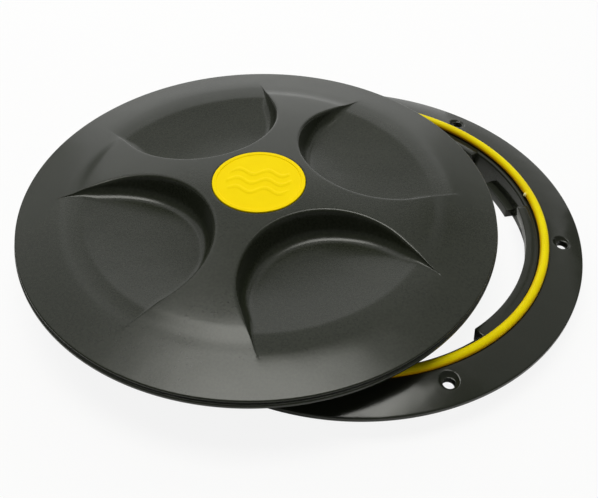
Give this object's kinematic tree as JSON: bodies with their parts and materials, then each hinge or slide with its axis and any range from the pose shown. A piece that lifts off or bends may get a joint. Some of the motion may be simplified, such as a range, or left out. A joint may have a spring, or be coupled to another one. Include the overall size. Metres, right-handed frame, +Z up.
{
  "type": "kayak hatch",
  "caption": "Round quarter-turn kayak deck hatch: a black screw-down deck ring with a yellow O-ring, and a black domed lid with finger scoops and a yellow centre badge lying on it.",
  "frame": {"origin": "on the axis of the deck ring, in the plane of the deck, which is the underside of its flange", "axes": "+Z up out of the deck along the ring's axis; +X to the right and +Y to the back as the picture looks at it"},
  "size_m": [0.2989, 0.2637, 0.0494],
  "materials": {
    "ring_plastic": "smooth, slightly glossy black moulded plastic",
    "seal_rubber": "smooth bright yellow rubber cord",
    "lid_plastic": "fine-grained charcoal black moulded plastic with a satin sheen",
    "badge_plastic": "bright yellow moulded plastic"
  },
  "bodies": {
    "root": {"deck_ring": "ring_plastic", "o_ring": "seal_rubber", "lid": "lid_plastic", "badge": "badge_plastic"}
  },
  "joints": []
}
